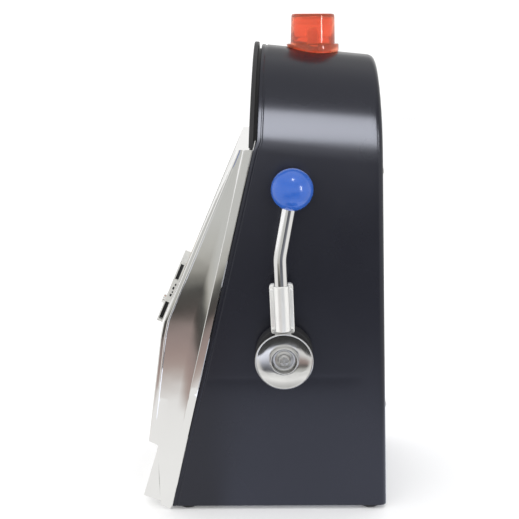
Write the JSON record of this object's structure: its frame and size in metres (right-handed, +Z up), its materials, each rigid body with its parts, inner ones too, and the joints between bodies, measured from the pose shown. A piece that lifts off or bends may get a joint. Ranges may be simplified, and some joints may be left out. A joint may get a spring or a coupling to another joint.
{
  "type": "toy slot machine bank",
  "caption": "Toy slot machine savings bank with side lever, spinning reels, coin head, payout tray, back coin door and beacon.",
  "frame": {"origin": "On the cabinet's plane of symmetry, at table height, half way between the lip of the tray and the back wall.", "axes": "+Z up, front with the reels and tray towards -Y, lever on the +X side."},
  "size_m": [0.1836, 0.193, 0.381],
  "materials": {
    "black_shell": "semi-gloss moulded",
    "dark_plastic": "satin",
    "plated_plastic": "bright vacuum-plated",
    "chromed_steel": "polished",
    "steel": "bright zinc",
    "white_plastic": "satin",
    "reel_strip": "printed strip",
    "blue_plastic": "glossy",
    "red_clear": "clear tinted plastic",
    "clear": "clear plastic",
    "rubber": "matt",
    "board_green": "circuit board",
    "printed_card": "printed",
    "brass": "plain",
    "cell_case": "printed can"
  },
  "bodies": {
    "cabinet": {"back_shell": "black_shell", "arch_frame": "black_shell", "base_plate": "dark_plastic", "reel_mask": "dark_plastic", "speaker": "dark_plastic", "battery_tray": "dark_plastic", "lever_boss": "dark_plastic", "foot_front_left": "rubber", "foot_front_right": "rubber", "foot_back_left": "rubber", "foot_back_right": "rubber", "case_screw_lower_left": "steel", "case_screw_lower_right": "steel", "case_screw_upper_left": "steel", "case_screw_upper_right": "steel", "reel_shaft": "steel", "pawl_shaft": "steel", "mech_plate_left": "steel", "mech_plate_right": "steel", "tie_rod_upper": "steel", "tie_rod_lower": "steel", "return_spring": "steel", "marquee_lens": "clear", "reel_lens": "clear", "marquee_board": "printed_card", "pay_card": "printed_card", "belly_panel": "printed_card", "front_bezel": "plated_plastic", "coin_head": "plated_plastic", "payout_tray": "plated_plastic", "coin_bin": "white_plastic", "coin_chute": "white_plastic", "beacon_lamp": "white_plastic", "battery_1": "cell_case", "battery_2": "cell_case", "battery_3": "cell_case", "beacon_lens": "red_clear", "beacon_board": "board_green", "circuit_board": "board_green", "shaft_bush": "brass"},
    "lever": {"lever_hub": "chromed_steel", "lever_socket": "chromed_steel", "lever_arm": "chromed_steel", "lever_knob": "blue_plastic", "hub_washer": "steel", "hub_screw": "steel", "lever_shaft": "steel", "drive_sector": "steel"},
    "kicker": {"kicker": "white_plastic"},
    "reel_left": {"reel_left": "reel_strip"},
    "reel_centre": {"reel_centre": "reel_strip"},
    "reel_right": {"reel_right": "reel_strip"},
    "pawl_left": {"pawl_left": "brass"},
    "pawl_centre": {"pawl_centre": "brass"},
    "pawl_right": {"pawl_right": "brass"},
    "payout_gate": {"payout_gate": "white_plastic"},
    "coin_door": {"coin_door": "black_shell"},
    "battery_door": {"battery_door": "black_shell"},
    "return_button": {"return_button": "plated_plastic"},
    "power_switch": {"power_switch": "white_plastic"}
  },
  "joints": [
    {"name": "lever_pull", "type": "hinge", "parent": "cabinet", "child": "lever", "pos_m": [0, 0.0154, 0.13245], "axis": [1, 0, 0], "range_deg": [0, 65], "stiffness_Nm_per_rad": 0.16, "springref_deg": -51.57},
    {"name": "kicker_turn", "type": "hinge", "parent": "cabinet", "child": "kicker", "pos_m": [0, 0.03816, 0.17831], "axis": [1, 0, 0], "range_deg": [-66, 1]},
    {"name": "reel_left_spin", "type": "hinge", "parent": "cabinet", "child": "reel_left", "pos_m": [0, -0.0015, 0.2211], "axis": [1, 0, 0], "continuous": true},
    {"name": "reel_centre_spin", "type": "hinge", "parent": "cabinet", "child": "reel_centre", "pos_m": [0, -0.0015, 0.2211], "axis": [1, 0, 0], "continuous": true},
    {"name": "reel_right_spin", "type": "hinge", "parent": "cabinet", "child": "reel_right", "pos_m": [0, -0.0015, 0.2211], "axis": [1, 0, 0], "continuous": true},
    {"name": "pawl_left_lift", "type": "hinge", "parent": "cabinet", "child": "pawl_left", "pos_m": [0, 0.04, 0.236], "axis": [-1, 0, 0], "range_deg": [0, 8], "stiffness_Nm_per_rad": 0.02, "springref_deg": -20.05},
    {"name": "pawl_centre_lift", "type": "hinge", "parent": "cabinet", "child": "pawl_centre", "pos_m": [0, 0.04, 0.236], "axis": [-1, 0, 0], "range_deg": [0, 8], "stiffness_Nm_per_rad": 0.02, "springref_deg": -20.05},
    {"name": "pawl_right_lift", "type": "hinge", "parent": "cabinet", "child": "pawl_right", "pos_m": [0, 0.04, 0.236], "axis": [-1, 0, 0], "range_deg": [0, 8], "stiffness_Nm_per_rad": 0.02, "springref_deg": -20.05},
    {"name": "payout_gate_swing", "type": "hinge", "parent": "cabinet", "child": "payout_gate", "pos_m": [0, -0.0535, 0.0465], "axis": [-1, 0, 0], "range_deg": [0, 60]},
    {"name": "coin_door_hinge", "type": "hinge", "parent": "cabinet", "child": "coin_door", "pos_m": [0, 0.09493, 0.01894], "axis": [-1, 0, 0], "range_deg": [0, 95]},
    {"name": "battery_door_hinge", "type": "hinge", "parent": "cabinet", "child": "battery_door", "pos_m": [0, 0.08901, 0.18584], "axis": [-1, 0, 0], "range_deg": [0, 95]},
    {"name": "return_button_press", "type": "slide", "parent": "cabinet", "child": "return_button", "axis": [0, 0.92, -0.3919], "range_m": [0, 0.002], "stiffness_N_per_m": 250, "springref_m": -0.001},
    {"name": "power_switch_slide", "type": "slide", "parent": "cabinet", "child": "power_switch", "axis": [1, 0, 0], "range_m": [0, 0.007]}
  ],
  "couplings": [
    {"joint": "kicker_turn", "follows": "lever_pull", "ratio": -1}
  ]
}
